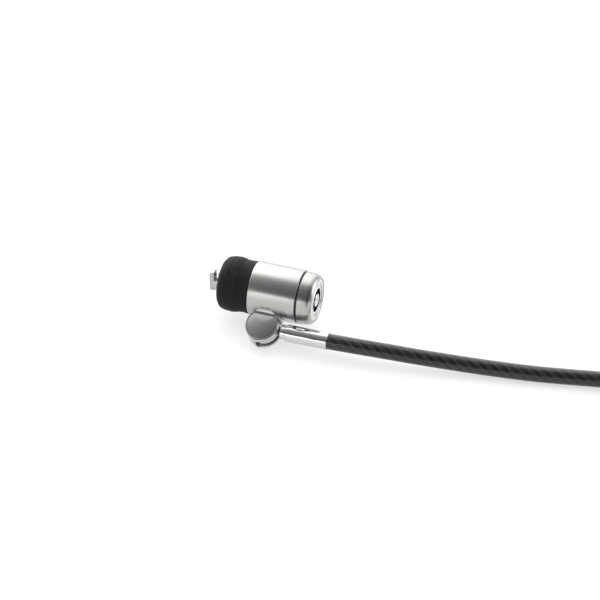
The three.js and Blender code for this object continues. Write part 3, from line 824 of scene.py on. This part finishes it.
def make_bumper():
    """Moulded rubber round the core's rear, swelling towards the laptop, with a recess for the nose."""
    skin = curve_through([
        (0.42, 7.0), (0.8, 7.55), (2.5, 8.12), (4.0, 8.27),
        (5.5, 8.1), (7.4, 7.8), (9.0, 7.86), (9.6, 7.93),
    ], 0.15)
    profile = [(1.9, 6.4), (1.9, 4.1), (0.25, 4.1), (0.05, 4.25), (0, 4.5), (0, 6.35), (0.12, 6.7),
               *skin, (9.74, 7.9), (9.8, 7.75), (9.8, 6.4)]

    def moulded(x, angle, r):
        """Two shallow rings and an uneven skin, on the outside only."""
        if r < 6.9 or x > 9.65:
            return r
        bands = 0.11 * math.exp(-((x - 3.5) / 0.3) ** 2) + 0.09 * math.exp(-((x - 6.4) / 0.35) ** 2)
        wobble = noise.noise(Vector((x * 0.4, 1.1 * math.cos(angle), 1.1 * math.sin(angle))))
        return r - bands + 0.08 * wobble

    bumper = lathe("rubber_boot", profile, 160, closed=True, radius_at=moulded)
    return placed(bumper, HEAD, "lock_core", RUBBER, ("rubber_bumper",), 50)


def make_cap():
    profile = rounded([
        (CAP_START, CORE_R + 0.05, 0), (CAP_START, CAP_R, 0.14), (27.7, 7.62, 0.3), (28.6, 7.38, 0.5),
        (29.1, 6.9, 0.35), (BARREL_END, 6.55, 0.1), (BARREL_END, CORE_R + 0.06, 0.05),
        (28.8, CORE_R + 0.05, 0),
    ])
    cap = lathe("cap_shell", profile, 192, closed=True)
    return placed(cap, HEAD, "lock_core", SATIN, ("front_cap",), 50)


def make_core():
    """Tube whose front is closed but for the keyway, with a groove turned in its face."""
    end, inside = BARREL_END - 0.1, PLUG_SHOULDER + 0.1
    profile = rounded([
        (CORE_START, CORE_BORE_R, 0), (CORE_START, CORE_R, 0.2), (end, CORE_R, 0.16), (end, 5.05, 0.12),
        (end - 0.28, 5.05, 0.04), (end - 0.28, 4.35, 0.05), (end - 0.12, 4.2, 0.08),
        (end - 0.12, KEYWAY_R + 0.04, 0.1), (inside, KEYWAY_R + 0.04, 0), (inside, CORE_BORE_R, 0),
    ])
    core = lathe("core_tube", profile, 192, closed=True)
    return placed(core, HEAD, "lock_core", POLISHED, ("core_shell",), 50)


def make_groove_ring():
    low, high = stations("groove_ring")
    inner, outer = CORE_R + 0.05, 7.55
    profile = rounded([(low, inner, 0), (low, outer, 0.08), (high, outer, 0.08), (high, inner, 0)])
    ring = lathe("seal_ring", profile, 192, closed=True)
    return placed(ring, HEAD, "lock_core", NYLON, ("groove_ring",), 50)


def make_plug():
    """Plug with the ring-shaped keyway round its post, the key's lug slot and the pins' holes."""
    end = BARREL_END - 0.15
    profile = rounded([
        (PLUG_START, 0, 0), (PLUG_START, PLUG_R, 0.1), (PLUG_SHOULDER, PLUG_R, 0.1),
        (PLUG_SHOULDER, KEYWAY_R, 0.08), (KEYWAY_FLOOR, KEYWAY_R, 0.1), (KEYWAY_FLOOR, POST_R, 0),
        (end, POST_R, 0.28), (end, 0.75, 0.1), (end - 0.45, 0.45, 0.15), (end - 0.5, 0, 0),
    ])
    plug = lathe("plug_post", profile, 144)
    behind = 18.5
    socket = box("socket", (behind, -1, -1), (22.6, 1, 1))
    lug = box("lug_slot", (KEYWAY_FLOOR, -0.55, KEYWAY_R - 0.4), (29, 0.55, KEYWAY_R + 0.7))
    holes = []
    for i in range(KEY_PINS):
        angle = 2 * math.pi * i / KEY_PINS + math.pi / 2
        centre = (PIN_CIRCLE_R * math.cos(angle), PIN_CIRCLE_R * math.sin(angle))
        ring = circle(KEY_PIN_R, 24, centre)
        holes.append(loft("pin_hole", [[(x, y, z) for y, z in ring] for x in (behind, KEYWAY_FLOOR + 1)]))
    cut(plug, socket, lug, *holes)
    return placed(plug, HEAD, "key_plug", POLISHED, ("key_plug",), 50)


def make_nose_plate():
    """Disc with the two prongs that keep the lock from turning in the slot."""
    low, high, hole_r = 2.0, 3.4, 1.4
    profile = rounded([(low, hole_r, 0.05), (low, CORE_R, 0.15), (high, CORE_R, 0.1), (high, hole_r, 0)])
    disc = lathe("nose_disc", profile, 128, closed=True)
    for middle in (-2.45, 2.45):
        prong = box("prong", (-2.2, middle - 0.7, -BAR_HALF), (2.5, middle + 0.7, BAR_HALF))
        join(disc, eased(prong, 0.22, 3))
    return placed(disc, HEAD, "lock_core", TURNED_STEEL, ("nose_plate",), 50)


def make_t_bar():
    """Shaft through the head, with the crosswise bar that locks in the slot and the tang in the plug."""
    low, high = -2.9, 19.5
    profile = rounded([(low, 0, 0), (low, BAR_HALF, 0), (high, BAR_HALF, 0.1), (high, 0, 0)])
    shaft = lathe("nose_bar", profile, 64)
    head = box("bar_head", (-3.8, -BAR_HALF, -BAR_REACH), (-2.4, BAR_HALF, BAR_REACH))
    round_ends = lathe("bar_round", [(-4, 0), (-4, BAR_REACH), (-2, BAR_REACH), (-2, 0)], 96)
    combine(head, "INTERSECT", round_ends)
    tang = box("tang", (19, -0.9, -0.9), (22.5, 0.9, 0.9))
    join(shaft, eased(head, 0.25, 3), eased(tang, 0.1))
    return placed(shaft, HEAD, "key_plug", TURNED_STEEL, ("t_bar",), 50)


make_bumper()
make_cap()
make_core()
make_groove_ring()
make_plug()
make_nose_plate()
make_t_bar()


# ---- loop ferrule and ties -----------------------------------------------------------------------------

def make_loop_ferrule():
    """Flat crimped sleeve round the loop's two strands, pinched at two places."""
    low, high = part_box("loop_ferrule")
    low, high = low / MM, high / MM
    middle = (low + high) / 2
    half_height = (high.z - low.z) / 2
    side = (high.y - low.y) / 2 - half_height
    count = 64
    length = high.x - low.x

    def section(x, inset):
        ring = []
        press = sum(math.exp(-(x - at) ** 4) for at in (length * 0.3, length * 0.7))
        for j in range(count):
            a = 2 * math.pi * j / count
            reach = half_height - inset
            shift = side if math.cos(a) >= 0 else -side
            y = shift + reach * math.cos(a)
            z = reach * math.sin(a) * (1 - 0.07 * press)
            waist = 0.22 * math.exp(-(y / 1.3) ** 2)
            z -= math.copysign(waist, z) if abs(z) > 1 else 0
            ring.append((low.x + x, middle.y + y, middle.z + z))
        return ring

    edge = 0.45
    rings = [section(x, inset) for inset, x in reversed(quarter_round(edge, 4))]
    rings += [section(edge + (length - 2 * edge) * i / 40, 0) for i in range(1, 40)]
    rings += [section(length - x, inset) for inset, x in quarter_round(edge, 4)]
    ferrule = loft("loop_crimp", rings)
    return placed(ferrule, ROW, "cable_end", CRIMPED, ("loop_ferrule",), 50)


def make_tie(node):
    """A strap wound once round the hank, with its end laid over itself on the far side."""
    low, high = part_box(node)
    low, high = low / MM, high / MM
    thick, corner = 0.9, 2.4
    y0, y1 = low.y + thick / 2, high.y - thick / 2
    z0, z1 = low.z + thick / 2, high.z - thick / 2
    over = y1 + thick + 0.06

    def bend(y, z, start):
        turns = [math.radians(start + 90 * k / 8) for k in range(9)]
        return [(y + corner * math.cos(a), z + corner * math.sin(a)) for a in turns]

    line = curve_through([
        (y1, z0 + 4), (y1, (z0 + z1) / 2), *bend(y1 - corner, z1 - corner, 0),
        *bend(y0 + corner, z1 - corner, 90), *bend(y0 + corner, z0 + corner, 180),
        *bend(y1 - corner, z0 + corner, 270), (y1 + 0.15, z0 + 3.2), (over, z0 + 5.2), (over, z1 - 4.5),
    ], 0.7)
    rings = []
    for i, point in enumerate(line):
        tangent = (line[min(i + 1, len(line) - 1)] - line[max(i - 1, 0)]).normalized()
        out = Vector((tangent.y, -tangent.x))
        ring = []
        for x, depth in ((0.12, 0.5), (0, 0.3), (0, -0.3), (0.12, -0.5)):
            p = point + out * depth * thick
            ring.append((low.x + x, p.x, p.y))
        for x, depth in ((0.12, -0.5), (0, -0.3), (0, 0.3), (0.12, 0.5)):
            p = point + out * depth * thick
            ring.append((high.x - x, p.x, p.y))
        rings.append(ring)
    tie = loft("strap_" + node[-1], rings)
    return placed(tie, ROW, "cable_end", STRAP, (node,), 50)


loop_crimp = make_loop_ferrule()
ties = [make_tie("hank_tie_1"), make_tie("hank_tie_2")]


# ---- studio --------------------------------------------------------------------------------------------

def glowing_floor():
    """A light table: most of its light is its own, so that shadows on it stay faint."""
    look = Look("light_table", (0.3, 0.3, 0.3), 0.9, Emission_Color=(1, 1, 1, 1), Emission_Strength=0.64)
    look.shader.inputs["Specular IOR Level"].default_value = 0.1
    return look.material


def make_floor():
    half = 15
    corners = [(-half, -half, 0), (half, -half, 0), (half, half, 0), (-half, half, 0)]
    obj = mesh_object("floor", corners, [(0, 1, 2, 3)])
    obj.data.materials.append(glowing_floor())


def area_light(name, place, aim, size, power):
    data = bpy.data.lights.new(name, "AREA")
    data.shape = "RECTANGLE"
    data.size, data.size_y = size
    data.energy = power
    light = bpy.data.objects.new(name, data)
    bpy.context.scene.collection.objects.link(light)
    turn = (Vector(place) - Vector(aim)).to_track_quat("Z", "Y").to_matrix().to_4x4()
    light.matrix_world = Matrix.Translation(place) @ turn
    return light


# Light of the room by the angle in degrees from the back horizon over the ceiling to the front horizon.
ROOM_LIGHT = [
    (0, 1.9), (50, 2.6), (71, 2.1), (87, 0.6), (105, 0.34), (125, 0.22),
    (148, 0.16), (151, 0.05), (158, 0.05), (162, 1.45), (180, 1.45),
]
# How much of it there is from the left side (-1) to the right side (1).
SIDE_SHARE = [(-1, 1.85), (-0.75, 1.85), (0.3, 0.28), (0.45, 0.3), (0.7, 1.2), (1, 1.2)]
# The strip lamp hangs low in front, a little to the left.
STRIP_WAY, STRIP_DISTANCE = Vector((-0.2425, -0.917, 0.316)), 2


def light_ramp(tree, value, stops):
    """A ramp through (input, light) stops; returns its output and the light that a full output means."""
    low, high = stops[0][0], stops[-1][0]
    brightest = max(light for _, light in stops)
    share = tree.nodes.new("ShaderNodeMapRange")
    share.inputs["From Min"].default_value = low
    share.inputs["From Max"].default_value = high
    tree.links.new(value, share.inputs["Value"])
    ramp = tree.nodes.new("ShaderNodeValToRGB")
    tree.links.new(share.outputs["Result"], ramp.inputs["Fac"])
    elements = ramp.color_ramp.elements
    elements.remove(elements[-1])
    for i, (at, light) in enumerate(stops):
        stop = elements[0] if i == 0 else elements.new((at - low) / (high - low))
        level = light / brightest
        stop.color = (level, level, level, 1)
    return ramp.outputs["Color"], brightest


def studio_world():
    """A bright back wall, a grey ceiling, a dark line and a bright strip in front.

    All of it is brightest on the left and dimmest right of the middle.
    """
    world = bpy.data.worlds.new("studio")
    world.use_nodes = True
    tree = world.node_tree
    place = tree.nodes.new("ShaderNodeTexCoord").outputs["Generated"]
    split = tree.nodes.new("ShaderNodeSeparateXYZ")
    tree.links.new(place, split.inputs["Vector"])
    angle = tree.nodes.new("ShaderNodeMath")
    angle.operation = "ARCTAN2"
    tree.links.new(split.outputs["Z"], angle.inputs[0])
    tree.links.new(split.outputs["Y"], angle.inputs[1])
    room = [(math.radians(degrees), light) for degrees, light in ROOM_LIGHT]
    light, room_light = light_ramp(tree, angle.outputs["Value"], room)
    side, side_light = light_ramp(tree, split.outputs["X"], SIDE_SHARE)
    strength = tree.nodes.new("ShaderNodeMath")
    strength.operation = "MULTIPLY"
    strength.inputs[1].default_value = room_light * side_light
    tree.links.new(side, strength.inputs[0])
    background = tree.nodes["Background"]
    tree.links.new(light, background.inputs["Color"])
    tree.links.new(strength.outputs["Value"], background.inputs["Strength"])
    bpy.context.scene.world = world


def make_studio():
    make_floor()
    studio_world()
    fill = area_light("overhead", (0.1, -0.1, 1.3), AXIS, (1.6, 1.6), 14)
    fill.visible_glossy = False
    area_light("strip", AXIS + STRIP_WAY * STRIP_DISTANCE, AXIS, (0.75, 0.05), 1.0)
    bpy.context.scene.view_settings.view_transform = "Standard"


make_studio()
